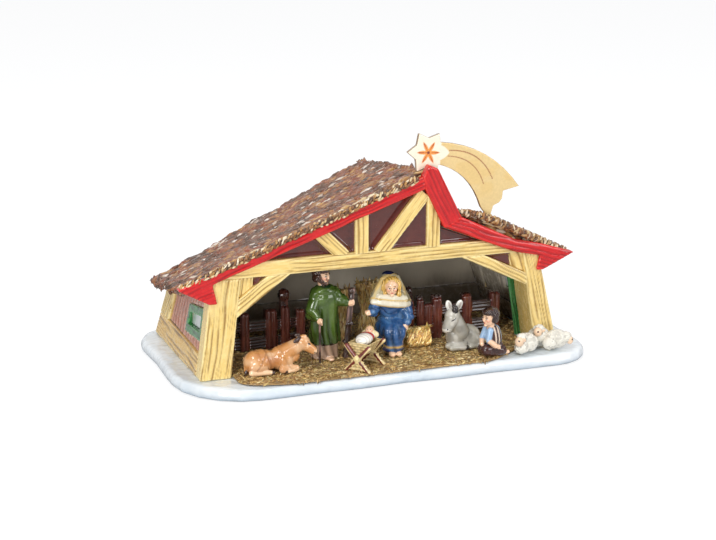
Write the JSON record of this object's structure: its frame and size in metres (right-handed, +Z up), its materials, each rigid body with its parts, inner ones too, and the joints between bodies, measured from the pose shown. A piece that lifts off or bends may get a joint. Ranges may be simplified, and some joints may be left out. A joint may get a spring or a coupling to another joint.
{
  "type": "nativity stable",
  "caption": "Glazed porcelain nativity scene: an open timber-framed stable with a thatched roof and a comet, over a snow base with figures, animals, fences and a manger.",
  "frame": {"origin": "under the middle of the snow base, on the surface that it stands on", "axes": "+X along the open front to the right, +Y to the back, +Z up"},
  "size_m": [0.274, 0.15, 0.1538],
  "materials": {
    "snow": "glossy white glaze with pale blue shading",
    "straw": "brushed olive and ochre straw under clear glaze",
    "timber": "cream yellow glaze with olive brown grain lines",
    "fence": "glossy dark brown glaze",
    "plank": "pinkish brown glaze with vertical grain",
    "red": "glossy red glaze with darker streaks",
    "maroon": "high gloss dark maroon glaze",
    "thatch": "mauve grey bundled thatch under clear glaze",
    "mauve": "mauve glaze",
    "green": "glossy green glaze",
    "pane": "glossy pale grey glaze",
    "gold": "pale gold glaze",
    "cream": "glossy cream glaze",
    "robe": "glossy green glaze",
    "under": "beige pink glaze",
    "hair": "glossy dark brown hair over skin tone",
    "skin": "skin tone glaze",
    "blue": "high gloss blue glaze",
    "wicker": "cream and gold glaze",
    "ox": "orange brown glaze with pale patches",
    "donkey": "grey glaze",
    "brown": "glossy brown glaze",
    "sheep": "off-white woolly glaze"
  },
  "bodies": {
    "base": {"snow_base": "snow", "straw_floor": "straw", "left_fence": "fence", "right_fence": "fence", "father_underrobe": "under", "father_robe": "robe", "father_staff": "fence", "father_cane": "fence", "father_head": "hair", "mother_robe": "blue", "mother_head": "skin", "mother_veil": "cream", "hay_bale": "straw", "straw_sheaf": "straw", "rear_straw_sheaf": "straw", "manger_trough": "wicker", "left_trestle": "wicker", "right_trestle": "wicker", "infant": "cream", "ox": "ox", "donkey": "donkey", "shepherd_body": "brown", "shepherd_head": "hair", "sheep_left": "sheep", "sheep_middle": "sheep", "sheep_right": "sheep"},
    "stable": {"left_roof": "thatch", "steep_roof": "thatch", "right_roof": "thatch", "left_eave_wedge": "mauve", "right_eave_wedge": "mauve", "left_verge_board": "red", "steep_verge_board": "red", "right_verge_board": "red", "left_front_post": "timber", "right_front_post": "timber", "tie_beam": "timber", "left_brace": "timber", "right_brace": "timber", "left_corner_panel": "maroon", "right_corner_panel": "maroon", "reveal_lining": "green", "gable_post": "timber", "king_strut": "timber", "left_diagonal": "timber", "long_diagonal": "timber", "gable_panel": "maroon", "left_sill": "timber", "right_sill": "timber", "left_rear_post": "timber", "right_rear_post": "timber", "left_wall": "plank", "right_wall": "plank", "left_window_frame": "green", "right_window_frame": "green", "left_window_pane": "pane", "right_window_pane": "pane", "rear_sill": "timber", "rear_wall": "plank", "comet": "gold"}
  },
  "joints": [
    {"name": "stable_lift", "type": "slide", "parent": "base", "child": "stable", "axis": [0, 0, 1], "range_m": [0, 0.08]}
  ]
}
